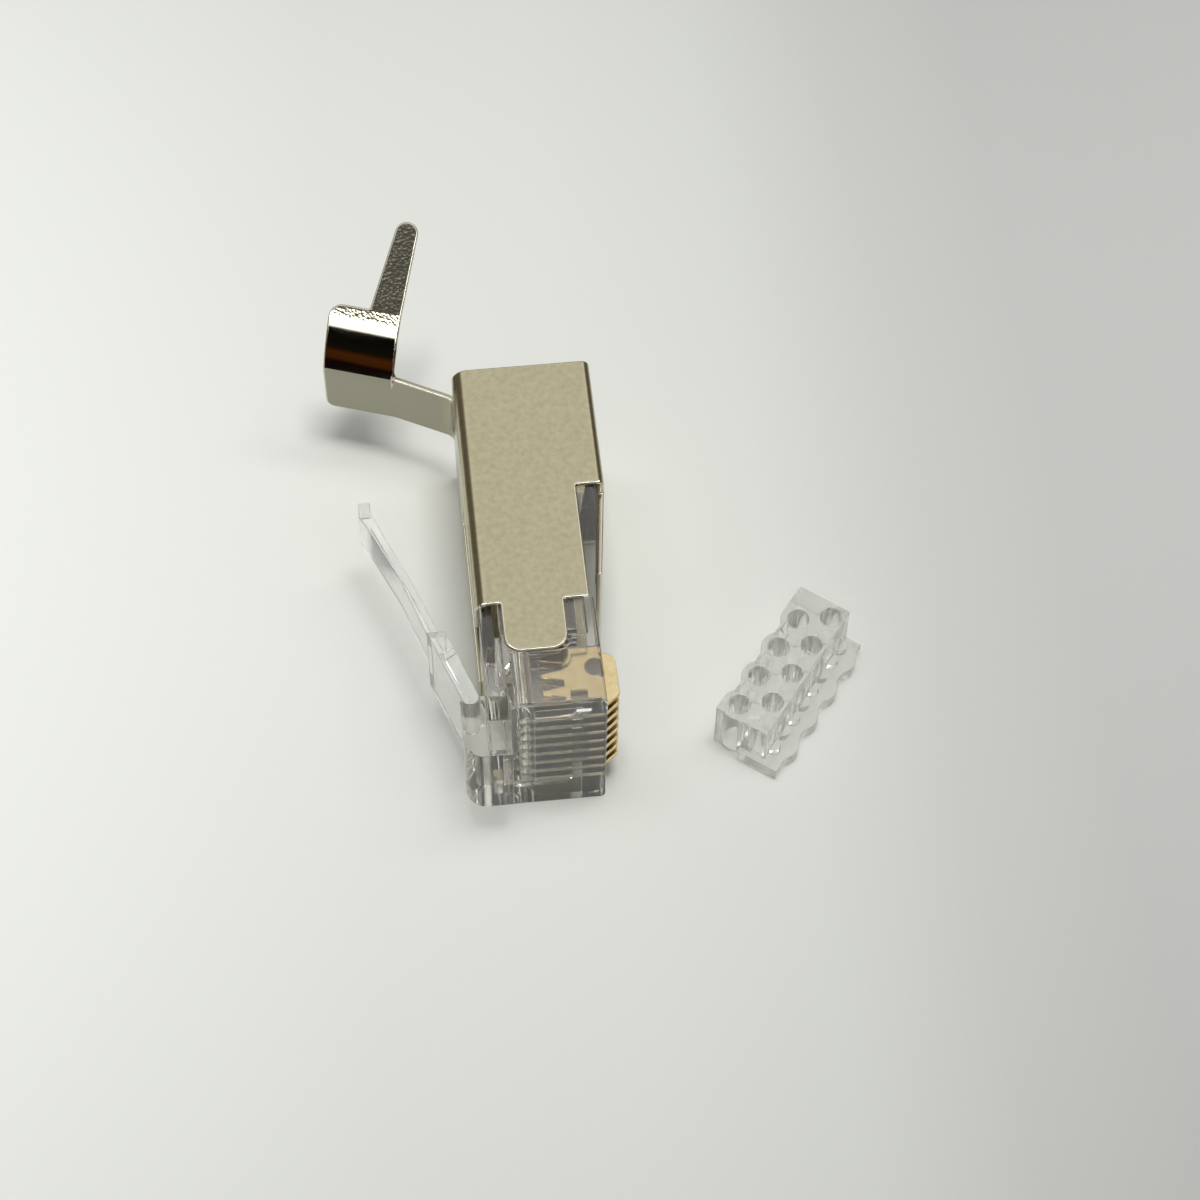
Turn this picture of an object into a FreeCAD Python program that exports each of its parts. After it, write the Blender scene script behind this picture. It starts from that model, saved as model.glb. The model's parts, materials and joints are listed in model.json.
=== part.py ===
import FreeCAD, Part
import math
import os
import re

import Sketcher

# A shielded eight-way modular plug, before it is crimped, lying on its side with its load bar beside it.
#
# Millimetres.  The origin is the middle of the nose's front face, the face that goes into the jack first.
# +Y runs back along the plug towards the cable, +X points to the side where the contacts show,
# -X to the side of the latch, and +Z across the plug's width, up from the face that it lies on.

SIZES = [
    # the clear moulded housing
    ("plug_width", 11.68, "across the eight ways"),
    ("nose_depth", 5.6, "from the contact side to the latch side, at the front"),
    ("ledge_depth", 1.25, "how far the two rails beside the latch stand out of the nose"),
    ("ledge_setback", 0.9, "from the nose's front face back to the rails"),
    ("housing_length", 21.5, "nose face to the housing's cable end"),
    ("housing_wall", 0.6, "latch-side and contact-side walls round the cable"),
    ("side_wall", 0.3, "walls beside the cable"),
    ("groove_width", 0.9, "groove along each rail"),
    ("groove_depth", 0.85, "depth of that groove below the side face"),
    ("groove_front", 1.2, "nose face to the groove's round end"),
    ("tongue_margin", 0.15, "room in the housing's step round the shield's tongue"),
    ("step_front", 4.6, "nose face to the step beside the tongue"),
    ("step_edge", 0.7, "nose's contact-side edge that this step leaves standing"),
    ("nose_rounding", 0.35, "radius of the nose's contact-side corners"),
    # wires and contacts
    ("contact_count", 8, "ways"),
    ("contact_pitch", 1.016, "from one contact to the next"),
    ("contact_thickness", 0.35, "blade thickness"),
    ("contact_length", 3.4, "blade length along the plug"),
    ("contact_height", 3.2, "blade height without its prongs"),
    ("contact_proud", 0.9, "how far an uncrimped blade stands out of the housing"),
    ("contact_fit", 0.04, "clearance round a blade in its slot"),
    ("contact_corner", 0.7, "radius of the blade's rear outer corner"),
    ("contact_hole", 1.15, "diameter of the hole in the blade"),
    ("contact_hole_inset", 1.35, "blade's rear and outer edges to the hole's centre"),
    ("contact_notch", 0.6, "depth of the notch in the blade's front edge"),
    ("contact_notch_height", 0.95, "height of that notch"),
    ("prong_count", 3, "prongs on a blade"),
    ("prong_length", 1.3, "prong length"),
    ("prong_root", 0.72, "prong width at the blade"),
    ("prong_tip", 0.24, "prong width at its tip"),
    ("slot_front", 0.95, "nose face to the contact slots"),
    ("slot_depth", 4.2, "depth of the contact slots"),
    ("wire_bore", 0.96, "diameter of the eight wire channels"),
    ("wire_stop", 0.9, "nose face to the ends of the wire channels"),
    # room for the load bar and the cable
    ("bar_seat_front", 5.3, "nose face to the load bar's seat"),
    ("bar_seat_rear", 9.5, "nose face to the rear of that seat"),
    # the latch
    ("root_width", 6.2, "width of the latch at its root and shoulder"),
    ("root_depth", 2.77, "nose's latch-side face to the latch root's outer face"),
    ("root_overhang", 1.45, "how far the latch root stands ahead of the nose"),
    ("root_rounding", 1.2, "radius of the latch root's front corner"),
    ("hinge_setback", 2.6, "nose face to the line where the latch bends"),
    ("hinge_depth", 2.15, "nose's latch-side face to that line"),
    ("hinge_gap", 0.03, "clearance where the latch's rolled end lies in its seat"),
    ("latch_angle", 19.7, "degrees between the free latch and the plug"),
    ("arm_thickness", 1.04, "thickness of the wide arm"),
    ("arm_length", 5.1, "bend line to the shoulder's stop faces"),
    ("lever_width", 3.25, "width of the narrow lever"),
    ("lever_thickness", 0.58, "thickness of the narrow lever"),
    ("lever_bow", 0.3, "how far the middle of the lever bows towards the plug"),
    ("lever_length", 16.1, "bend line to the lever's tip"),
    ("finger_length", 0.95, "squared end of the lever"),
    ("shoulder_hook", 0.35, "undercut of the shoulder's stop faces"),
    # the folded metal shield
    ("sheet", 0.35, "sheet thickness"),
    ("sheet_fit", 0.04, "clearance between sheet and housing"),
    ("shield_stand", 0.2, "shield's latch-side face above the rails"),
    ("shield_depth", 8.45, "shield from its latch side to its contact side"),
    ("shield_front", 7.15, "nose face to the front edges of the side faces"),
    ("shield_rear", 24.0, "nose face to the shield's cable end"),
    ("latch_bend", 0.95, "outer radius of the two latch-side bends"),
    ("contact_bend", 0.5, "outer radius of the two contact-side bends"),
    ("tongue_front", 3.85, "nose face to the tip of each side tongue"),
    ("tongue_width", 3.75, "width of the side tongues"),
    ("tongue_inset", 1.5, "shield's latch-side face to the tongue's edge"),
    ("tongue_rounding", 1.0, "radius of the tongue's corners"),
    ("notch_front", 15.0, "nose face to the end of the corner notches"),
    ("notch_depth", 1.7, "shield's contact-side face to the notched edge"),
    ("window_width", 6.3, "open width between the latch-side flanges"),
    ("window_rear", 18.6, "nose face to the closed part of the latch side"),
    ("panel_front", 9.35, "nose face to the end of the contact-side panel"),
    ("panel_width", 9.1, "width of that panel"),
    ("panel_inset", 0.7, "how far the panel leans in at its end"),
    # the crimp tail, which is part of the same sheet
    ("strip_width", 4.15, "width of the strip that carries the tail"),
    ("strip_bend", 0.8, "radius of the fold where the strip leaves the shield"),
    ("strip_angle", 27.5, "degrees that the strip leans back"),
    ("strip_length", 3.56, "straight run of the strip"),
    ("band_angle", 18.4, "degrees that the crimp band leans back"),
    ("band_width", 4.55, "width of the crimp band"),
    ("band_flat", 3.7, "flat height of the band above its lower edge"),
    ("band_bend", 0.7, "outer radius of the band's two sharp bends"),
    ("knee_angle", 26.0, "degrees of the bend above the flat"),
    ("curl_radius", 9.28, "outer radius of the band's long curl"),
    ("curl_angle", 25.87, "degrees of that curl"),
    ("end_angle", 10.53, "degrees of the last bend"),
    ("band_corner", 0.9, "radius of the band's free corner"),
    ("crimp_tongue_length", 5.8, "length of the tapered crimp tongue"),
    ("crimp_tongue_root", 2.03, "its width at the band"),
    ("crimp_tongue_tip", 1.45, "its width at the tip"),
    # the loose load bar
    ("bar_width", 3.4, "across the bar at its top"),
    ("bar_height", 4.0, "along the wires"),
    ("bar_bore", 1.3, "diameter of a wire hole"),
    ("bar_pitch", 1.18, "from one wire to the next along the bar"),
    ("bar_margin", 0.97, "each end of the bar to its nearest wire hole"),
    ("bar_row_inset", 0.95, "bar's lobed side to the first row of holes"),
    ("bar_row_gap", 1.6, "from one row of holes to the other"),
    ("bar_wall", 0.45, "wall round an outer wire hole"),
    ("bar_foot_height", 1.0, "height of the lobed foot"),
    ("bar_foot_reach", 1.4, "how far the foot stands out of the bar"),
    ("bar_foot_end", 0.35, "how far the foot runs past the near end of the bar"),
    ("bar_bead_height", 1.5, "height of the row of beads above the foot"),
    ("bar_bead", 1.0, "diameter of a bead"),
    ("bar_away", 9.88, "load bar's corner, from the plug's middle plane towards the contact side"),
    ("bar_back", 3.08, "load bar's corner, from the nose face back"),
    ("bar_turn", 52.1, "degrees that the bar lies turned"),
]

# Places that several pieces share, worked out from the sizes above.
CONTACT_FACE = "nose_depth / 2"
NOSE_LATCH_FACE = "-nose_depth / 2"
LEDGE_FACE = "-(nose_depth / 2 + ledge_depth)"
ROOT_FACE = "-(nose_depth / 2 + root_depth)"
HINGE_X = "-(nose_depth / 2 + hinge_depth)"
SHIELD_LATCH = f"({LEDGE_FACE} - shield_stand)"
SHIELD_CONTACT = f"({SHIELD_LATCH} + shield_depth)"
LATCH_LINING = f"({SHIELD_LATCH} + sheet + sheet_fit)"
CONTACT_LINING = f"({SHIELD_CONTACT} - sheet - sheet_fit)"
INNER_WIDTH = "(plug_width - 2 * (sheet + sheet_fit))"
CAVITY_WIDTH = f"({INNER_WIDTH} - 2 * side_wall)"
TONGUE_EDGE = f"({SHIELD_LATCH} + tongue_inset)"
CONTACT_FRONT = "(slot_front + contact_fit)"
CONTACT_REAR = f"({CONTACT_FRONT} + contact_length)"
CONTACT_TOP = f"({CONTACT_FACE} + contact_proud)"
PLATE_BOTTOM = f"({CONTACT_TOP} - contact_height)"
FIRST_WAY = "(-(contact_count - 1) / 2 * contact_pitch)"
PANEL_SLOPE = "(panel_inset / (notch_front - panel_front))"
# Where the lining's ramp under the leaning panel comes down to the contact face.
RAMP_START = f"(notch_front - ({CONTACT_LINING} - {CONTACT_FACE}) / {PANEL_SLOPE})"
BAR_LENGTH = "(2 * bar_margin + (contact_count - 1) * bar_pitch)"

ALIAS = re.compile(r"\b(" + "|".join(alias for alias, _, _ in SIZES) + r")\b")
CLEAR = 1.0      # how far a cut runs past the face that it opens


def sheet_formula(formula):
    return ALIAS.sub(r"Sizes.\1", formula)


def write_sizes(doc):
    sheet = doc.addObject("Spreadsheet::Sheet", "Sizes")
    for row, (alias, size, meaning) in enumerate(SIZES, start=1):
        sheet.set(f"A{row}", alias)
        sheet.set(f"B{row}", str(size))
        sheet.set(f"C{row}", meaning)
        sheet.setAlias(f"B{row}", alias)
    doc.recompute()
    return sheet


def number(doc, formula):
    """The value of a formula of sheet sizes, for first guesses and for picking edges."""
    return float(doc.Sizes.evalExpression(sheet_formula(formula)))


# ---- small steps that every PartDesign body below is made with

def new_body(doc, name):
    body = doc.addObject("PartDesign::Body", name)
    body.Label = name
    return body


def origin_part(body, role):
    return next(part for part in body.Origin.OriginFeatures if part.Role == role)


def new_sketch(body, name, role, lift="0"):
    """A sketch on one of the body's origin planes, lifted along the plane's normal."""
    sketch = body.newObject("Sketcher::SketchObject", name)
    sketch.AttachmentSupport = [(origin_part(body, role), "")]
    sketch.MapMode = "FlatFace"
    sketch.setExpression("AttachmentOffset.Base.z", sheet_formula(lift))
    return sketch


def pin_point(sketch, geometry, point, x, y):
    """Hold a point of the sketch at two sheet formulas."""
    for axis, formula in (("X", x), ("Y", y)):
        label = f"{axis.lower()}_{geometry}_{point}"
        start = number(sketch.Document, formula)
        index = sketch.addConstraint(Sketcher.Constraint(f"Distance{axis}", -1, 1, geometry, point, start))
        sketch.renameConstraint(index, label)
        sketch.setExpression(f"Constraints.{label}", sheet_formula(formula))


def draw_loop(sketch, corners):
    """A closed outline of straight lines, each corner an (x, y) pair of formulas."""
    places = [FreeCAD.Vector(number(sketch.Document, x), number(sketch.Document, y)) for x, y in corners]
    first = sketch.GeometryCount
    for place, following in zip(places, places[1:] + places[:1]):
        sketch.addGeometry(Part.LineSegment(place, following))
    for step, (x, y) in enumerate(corners):
        after = first + (step + 1) % len(corners)
        sketch.addConstraint(Sketcher.Constraint("Coincident", first + step, 2, after, 1))
        pin_point(sketch, first + step, 1, x, y)


def draw_circle(sketch, x, y, diameter):
    radius = number(sketch.Document, diameter) / 2
    centre = FreeCAD.Vector(number(sketch.Document, x), number(sketch.Document, y))
    geometry = sketch.addGeometry(Part.Circle(centre, FreeCAD.Vector(0, 0, 1), radius))
    pin_point(sketch, geometry, 3, x, y)
    label = f"diameter_{geometry}"
    index = sketch.addConstraint(Sketcher.Constraint("Diameter", geometry, 2 * radius))
    sketch.renameConstraint(index, label)
    sketch.setExpression(f"Constraints.{label}", sheet_formula(diameter))


def raise_profile(body, kind, name, sketch, length, symmetric=False, flip=False):
    """A Pad or Pocket of the sketch; a pad follows its plane's normal and a pocket goes against it."""
    feature = body.newObject(f"PartDesign::{kind}", name)
    feature.Profile = sketch
    feature.setExpression("Length", sheet_formula(length))
    feature.SideType = "Symmetric" if symmetric else "One side"
    feature.Reversed = flip
    return feature


def repeat(body, name, feature, role, step, count):
    """Copies of a feature in a row along one of the body's origin axes."""
    pattern = body.newObject("PartDesign::LinearPattern", name)
    pattern.Originals = [feature]
    pattern.Direction = (origin_part(body, role), [""])
    pattern.setExpression("Length", sheet_formula(f"({step}) * ({count} - 1)"))
    pattern.setExpression("Occurrences", sheet_formula(count))
    body.Tip = pattern
    return pattern


def straight_edges(shape, axis, spots):
    """Names of the edges along one axis that pass through the spots, given in the other two axes."""
    others = [index for index in range(3) if index != axis]
    names = []
    for count, edge in enumerate(shape.Edges, start=1):
        if len(edge.Vertexes) != 2:
            continue
        run = edge.Vertexes[1].Point - edge.Vertexes[0].Point
        if abs(abs(run[axis]) - edge.Length) > 1e-6:
            continue
        middle = edge.CenterOfMass
        if any(all(abs(middle[index] - value) < 1e-3 for index, value in zip(others, spot))
               for spot in spots):
            names.append(f"Edge{count}")
    return names


def round_corners(body, name, axis, spots, radius):
    """A fillet along the straight edges that run through the spots, each a pair of formulas."""
    doc = body.Document
    doc.recompute()
    base = body.Tip
    places = [[number(doc, formula) for formula in spot] for spot in spots]
    fillet = body.newObject("PartDesign::Fillet", name)
    fillet.Base = (base, straight_edges(base.Shape, axis, places))
    fillet.setExpression("Radius", sheet_formula(radius))
    return fillet


# ---- the clear housing

def housing_core(body):
    """The block that the shield wraps: it steps in by the sheet and swells towards the cable."""
    outline = new_sketch(body, "core_outline", "XY_Plane")
    draw_loop(outline, [
        (NOSE_LATCH_FACE, "0"),
        (CONTACT_FACE, "0"),
        (CONTACT_FACE, RAMP_START),
        (CONTACT_LINING, "notch_front"),
        (CONTACT_LINING, "housing_length"),
        (LATCH_LINING, "housing_length"),
        (LATCH_LINING, "ledge_setback"),
        (NOSE_LATCH_FACE, "ledge_setback"),
    ])
    raise_profile(body, "Pad", "core", outline, INNER_WIDTH, symmetric=True)
    sides = (f"-{INNER_WIDTH} / 2", f"{INNER_WIDTH} / 2")
    round_corners(body, "latch_lining_corners", 1, [(LATCH_LINING, side) for side in sides],
                  "latch_bend - sheet")
    round_corners(body, "contact_lining_corners", 1, [(CONTACT_LINING, side) for side in sides],
                  "contact_bend - sheet")


def housing_nose(body):
    """The full-width nose with its two rails, which leaves a step for the shield's tongues."""
    step_end = "(shield_front - sheet_fit)"
    tongue_end = "(tongue_front - tongue_margin)"
    tongue_side = f"({TONGUE_EDGE} + tongue_width + tongue_margin)"
    outline = new_sketch(body, "nose_outline", "XY_Plane")
    draw_loop(outline, [
        (NOSE_LATCH_FACE, "0"),
        (CONTACT_FACE, "0"),
        (CONTACT_FACE, step_end),
        (f"{CONTACT_FACE} - step_edge", step_end),
        (f"{CONTACT_FACE} - step_edge", "step_front"),
        (tongue_side, "step_front"),
        (tongue_side, tongue_end),
        (f"{TONGUE_EDGE} - tongue_margin", tongue_end),
        (f"{TONGUE_EDGE} - tongue_margin", step_end),
        (LEDGE_FACE, step_end),
        (LEDGE_FACE, "ledge_setback"),
        (NOSE_LATCH_FACE, "ledge_setback"),
    ])
    raise_profile(body, "Pad", "nose", outline, "plug_width", symmetric=True)
    corners = [(tongue_side, tongue_end), (f"{TONGUE_EDGE} - tongue_margin", tongue_end)]
    round_corners(body, "tongue_step_rounding", 2, corners, "tongue_rounding - tongue_margin")
    sides = ("-plug_width / 2", "plug_width / 2")
    round_corners(body, "nose_long_rounding", 1, [(CONTACT_FACE, side) for side in sides], "nose_rounding")


def housing_grooves(body):
    """A round-ended groove along each rail, which runs back under the shield."""
    middle = f"({LEDGE_FACE} + ledge_depth / 2)"
    left = f"({middle} - groove_width / 2)"
    right = f"({middle} + groove_width / 2)"
    round_centre = "(groove_front + groove_width / 2)"
    # The groove's floor lies groove_depth below the side face.
    run = new_sketch(body, "groove_run", "XY_Plane", "plug_width / 2")
    draw_loop(run, [
        (left, round_centre),
        (right, round_centre),
        (right, f"shield_front + {CLEAR}"),
        (left, f"shield_front + {CLEAR}"),
    ])
    long_cut = raise_profile(body, "Pocket", "groove", run, "groove_depth")
    end = new_sketch(body, "groove_end_circle", "XY_Plane", "plug_width / 2")
    draw_circle(end, middle, round_centre, "groove_width")
    end_cut = raise_profile(body, "Pocket", "groove_end", end, "groove_depth")
    pair = body.newObject("PartDesign::Mirrored", "grooves")
    pair.Originals = [long_cut, end_cut]
    pair.MirrorPlane = (origin_part(body, "XY_Plane"), [""])
    body.Tip = pair


def housing_latch_root(body):
    """The thick root of the latch, with the seat that the latch's rolled end bends in."""
    lean = "latch_angle"
    # The root's rear face falls away from the bend line, square to the free latch, on the outer side.
    outer_end = f"(hinge_setback - (root_depth - hinge_depth) * tan({lean}))"
    outline = new_sketch(body, "root_outline", "XY_Plane")
    draw_loop(outline, [
        (NOSE_LATCH_FACE, "-root_overhang"),
        (ROOT_FACE, "-root_overhang"),
        (ROOT_FACE, outer_end),
        (HINGE_X, "hinge_setback"),
        (f"{LEDGE_FACE} + ledge_depth / 2", "hinge_setback"),
        (f"{LEDGE_FACE} + ledge_depth / 2", f"ledge_setback + {CLEAR / 2}"),
        (NOSE_LATCH_FACE, f"ledge_setback + {CLEAR / 2}"),
    ])
    raise_profile(body, "Pad", "latch_root", outline, "root_width", symmetric=True)
    round_corners(body, "root_rounding", 2, [(ROOT_FACE, "-root_overhang")], "root_rounding")
    seat = new_sketch(body, "hinge_seat_circle", "XY_Plane")
    draw_circle(seat, HINGE_X, "hinge_setback", "arm_thickness + 2 * hinge_gap")
    raise_profile(body, "Pocket", "hinge_seat", seat, "root_width + 0.01", symmetric=True)


def housing_slots(body):
    """One slot for each contact, and the wire channel that it opens into."""
    opening = new_sketch(body, "slot_opening", "YZ_Plane", f"{CONTACT_FACE} + {CLEAR}")
    half = "(contact_thickness / 2 + contact_fit)"
    rear = f"({CONTACT_REAR} + contact_fit)"
    draw_loop(opening, [
        ("slot_front", f"{FIRST_WAY} - {half}"),
        (rear, f"{FIRST_WAY} - {half}"),
        (rear, f"{FIRST_WAY} + {half}"),
        ("slot_front", f"{FIRST_WAY} + {half}"),
    ])
    slot = raise_profile(body, "Pocket", "contact_slot", opening, f"slot_depth + {CLEAR}")
    repeat(body, "contact_slots", slot, "Z_Axis", "contact_pitch", "contact_count")
    mouth = new_sketch(body, "wire_circle", "XZ_Plane", "-wire_stop")
    draw_circle(mouth, f"{CONTACT_FACE} - slot_depth - wire_bore / 2 + contact_fit", FIRST_WAY, "wire_bore")
    reach = f"bar_seat_front + {CLEAR / 2} - wire_stop"
    channel = raise_profile(body, "Pocket", "wire_channel", mouth, reach)
    repeat(body, "wire_channels", channel, "Z_Axis", "contact_pitch", "contact_count")


def housing_cavity(body):
    """The room behind the contacts: the load bar's seat, then a wider mouth for the cable."""
    far = f"(housing_length + {CLEAR})"
    latch_wall = f"({LATCH_LINING} + housing_wall)"
    seat_wall = f"({CONTACT_FACE} - 2 * housing_wall)"
    ramp = f"({CONTACT_LINING} - housing_wall)"
    outline = new_sketch(body, "cavity_outline", "XY_Plane")
    draw_loop(outline, [
        (latch_wall, "bar_seat_front"),
        (seat_wall, "bar_seat_front"),
        (seat_wall, "bar_seat_rear"),
        (ramp, "notch_front + housing_wall"),
        (ramp, far),
        (latch_wall, far),
    ])
    raise_profile(body, "Pocket", "cable_cavity", outline, CAVITY_WIDTH, symmetric=True)


def build_housing(doc):
    body = new_body(doc, "housing")
    housing_core(body)
    housing_nose(body)
    housing_latch_root(body)
    housing_grooves(body)
    housing_cavity(body)
    housing_slots(body)
    return body


# ---- the latch, moulded in one with the housing but bending where it leaves its root

def build_latch(doc):
    """Drawn straight along its own +Y from the bend line, then leaned out by its placement."""
    body = new_body(doc, "latch_lever")
    roll = new_sketch(body, "rolled_end_circle", "XY_Plane")
    draw_circle(roll, "0", "0", "arm_thickness")
    raise_profile(body, "Pad", "rolled_end", roll, "root_width", symmetric=True)
    arm = new_sketch(body, "arm_outline", "XY_Plane")
    draw_loop(arm, [
        ("arm_thickness / 2", "0"),
        ("arm_thickness / 2", "arm_length - shoulder_hook"),
        ("-arm_thickness / 2", "arm_length"),
        ("-arm_thickness / 2", "0"),
    ])
    raise_profile(body, "Pad", "arm", arm, "root_width", symmetric=True)
    inner = "(lever_thickness / 4)"
    outer = "(-3 * lever_thickness / 4)"
    neck = "(0.5 * arm_length + 0.5 * (lever_length - finger_length))"
    lever = new_sketch(body, "lever_outline", "XY_Plane")
    draw_loop(lever, [
        ("arm_thickness * 0.42", "arm_length - arm_thickness"),
        (f"{inner} + lever_bow", neck),
        (inner, "lever_length - finger_length"),
        (f"{inner} + finger_length / 3", "lever_length - finger_length / 4"),
        (f"{outer} + finger_length / 4", "lever_length"),
        (f"{outer} - finger_length / 6", "lever_length - finger_length"),
        (outer, "lever_length - 2 * finger_length"),
        (f"{outer} + lever_bow", neck),
        ("-arm_thickness * 0.3", "arm_length - arm_thickness"),
    ])
    raise_profile(body, "Pad", "lever", lever, "lever_width", symmetric=True)
    body.Placement = FreeCAD.Placement(FreeCAD.Vector(), FreeCAD.Rotation(FreeCAD.Vector(0, 0, 1), 1))
    body.setExpression("Placement.Base.x", sheet_formula(HINGE_X))
    body.setExpression("Placement.Base.y", sheet_formula("hinge_setback"))
    body.setExpression("Placement.Rotation.Angle", sheet_formula("latch_angle"))
    return body


# ---- the eight gold contact blades

def prong_corners(count):
    """Corners of the prongs along the blade's inner edge, from front to rear."""
    corners = []
    for prong in range(count):
        centre = f"({CONTACT_FRONT} + contact_length * {2 * prong + 1} / {2 * count})"
        corners += [
            (PLATE_BOTTOM, f"{centre} - prong_root / 2"),
            (f"{PLATE_BOTTOM} - prong_length", f"{centre} - prong_tip / 2"),
            (f"{PLATE_BOTTOM} - prong_length", f"{centre} + prong_tip / 2"),
            (PLATE_BOTTOM, f"{centre} + prong_root / 2"),
        ]
    return corners


def build_contact(doc, way):
    body = new_body(doc, f"contact_{way + 1}")
    height = f"({FIRST_WAY} + {way} * contact_pitch)"
    notch_foot = f"({PLATE_BOTTOM} + contact_notch_height / 3)"
    notch_head = f"({notch_foot} + contact_notch_height)"
    blade = new_sketch(body, f"blade_outline_{way + 1}", "XY_Plane", height)
    draw_loop(blade, [
        (CONTACT_TOP, CONTACT_REAR),
        (CONTACT_TOP, CONTACT_FRONT),
        (notch_head, CONTACT_FRONT),
        (notch_head, f"{CONTACT_FRONT} + contact_notch"),
        (notch_foot, f"{CONTACT_FRONT} + contact_notch"),
        (notch_foot, CONTACT_FRONT),
        (PLATE_BOTTOM, CONTACT_FRONT),
    ] + prong_corners(int(number(doc, "prong_count"))) + [
        (PLATE_BOTTOM, CONTACT_REAR),
    ])
    raise_profile(body, "Pad", f"blade_{way + 1}", blade, "contact_thickness", symmetric=True)
    round_corners(body, f"rear_corner_{way + 1}", 2, [(CONTACT_TOP, CONTACT_REAR)], "contact_corner")
    round_corners(body, f"front_corner_{way + 1}", 2, [(CONTACT_TOP, CONTACT_FRONT)], "contact_corner / 3")
    hole = new_sketch(body, f"hole_circle_{way + 1}", "XY_Plane", height)
    inset = "contact_hole_inset"
    draw_circle(hole, f"{CONTACT_TOP} - {inset}", f"{CONTACT_REAR} - {inset}", "contact_hole")
    raise_profile(body, "Pocket", f"hole_{way + 1}", hole, "contact_thickness + 0.01", symmetric=True)
    return body


# ---- the folded shield with its crimp tail

def shield_wrap(body):
    """A rectangular tube of sheet with rounded bends, open at both ends."""
    length = "shield_rear - tongue_front"
    outside = new_sketch(body, "wrap_outline", "XZ_Plane", "-tongue_front")
    draw_loop(outside, [
        (SHIELD_LATCH, "-plug_width / 2"),
        (SHIELD_CONTACT, "-plug_width / 2"),
        (SHIELD_CONTACT, "plug_width / 2"),
        (SHIELD_LATCH, "plug_width / 2"),
    ])
    raise_profile(body, "Pad", "wrap", outside, length, flip=True)
    sides = ("-plug_width / 2", "plug_width / 2")
    round_corners(body, "latch_bends", 1, [(SHIELD_LATCH, side) for side in sides], "latch_bend")
    round_corners(body, "contact_bends", 1, [(SHIELD_CONTACT, side) for side in sides], "contact_bend")
    inside = new_sketch(body, "wrap_bore", "XZ_Plane", "-tongue_front")
    left = f"({SHIELD_LATCH} + sheet)"
    right = f"({SHIELD_CONTACT} - sheet)"
    inner_sides = ("(-plug_width / 2 + sheet)", "(plug_width / 2 - sheet)")
    draw_loop(inside, [
        (left, inner_sides[0]),
        (right, inner_sides[0]),
        (right, inner_sides[1]),
        (left, inner_sides[1]),
    ])
    raise_profile(body, "Pocket", "wrap_hollow", inside, length)
    round_corners(body, "latch_bends_inside", 1, [(left, side) for side in inner_sides],
                  "latch_bend - sheet")
    round_corners(body, "contact_bends_inside", 1, [(right, side) for side in inner_sides],
                  "contact_bend - sheet")


def shield_cutouts(body):
    """The blank's outline: tongues, front edges, corner notches and the window over the latch."""
    front = f"(tongue_front - {CLEAR})"
    latch_out = f"({SHIELD_LATCH} - {CLEAR})"
    contact_out = f"({SHIELD_CONTACT} + {CLEAR})"
    tongue_right = f"({TONGUE_EDGE} + tongue_width)"
    notch_edge = f"({SHIELD_CONTACT} - notch_depth)"
    latch_cut = new_sketch(body, "latch_side_cut", "XY_Plane")
    draw_loop(latch_cut, [
        (latch_out, front),
        (TONGUE_EDGE, front),
        (TONGUE_EDGE, "shield_front"),
        (latch_out, "shield_front"),
    ])
    raise_profile(body, "Pocket", "latch_side_front", latch_cut, "plug_width + 1", symmetric=True)
    contact_cut = new_sketch(body, "contact_side_cut", "XY_Plane")
    draw_loop(contact_cut, [
        (tongue_right, front),
        (contact_out, front),
        (contact_out, "notch_front"),
        (notch_edge, "notch_front"),
        (notch_edge, "shield_front"),
        (tongue_right, "shield_front"),
    ])
    raise_profile(body, "Pocket", "contact_side_front", contact_cut, "plug_width + 1", symmetric=True)
    corners = [(TONGUE_EDGE, "tongue_front"), (tongue_right, "tongue_front")]
    round_corners(body, "tongue_rounding", 2, corners, "tongue_rounding")
    window = new_sketch(body, "latch_window_outline", "YZ_Plane", f"{SHIELD_LATCH} + sheet + latch_bend / 2")
    draw_loop(window, [
        (f"shield_front - {CLEAR}", "-window_width / 2"),
        ("window_rear", "-window_width / 2"),
        ("window_rear", "window_width / 2"),
        (f"shield_front - {CLEAR}", "window_width / 2"),
    ])
    raise_profile(body, "Pocket", "latch_window", window, "sheet + latch_bend")


def shield_panel(body):
    """The contact-side panel, a flap that leans in over the housing's ramp."""
    overlap = "(sheet / 2)"
    panel = new_sketch(body, "panel_outline", "XY_Plane")
    draw_loop(panel, [
        (SHIELD_CONTACT, f"notch_front + {overlap}"),
        (SHIELD_CONTACT, "notch_front"),
        (f"{SHIELD_CONTACT} - panel_inset", "panel_front"),
        (f"{SHIELD_CONTACT} - panel_inset - sheet", "panel_front"),
        (f"{SHIELD_CONTACT} - sheet", "notch_front"),
        (f"{SHIELD_CONTACT} - sheet", f"notch_front + {overlap}"),
    ])
    raise_profile(body, "Pad", "contact_panel", panel, "panel_width", symmetric=True)


def turned(along, degrees):
    """The direction that leans back by so many degrees from straight out of the latch side."""
    angle = math.radians(degrees)
    out = FreeCAD.Vector(-math.cos(angle), math.sin(angle), 0)
    back = FreeCAD.Vector(math.sin(angle), math.cos(angle), 0)
    return out if along else back


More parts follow.
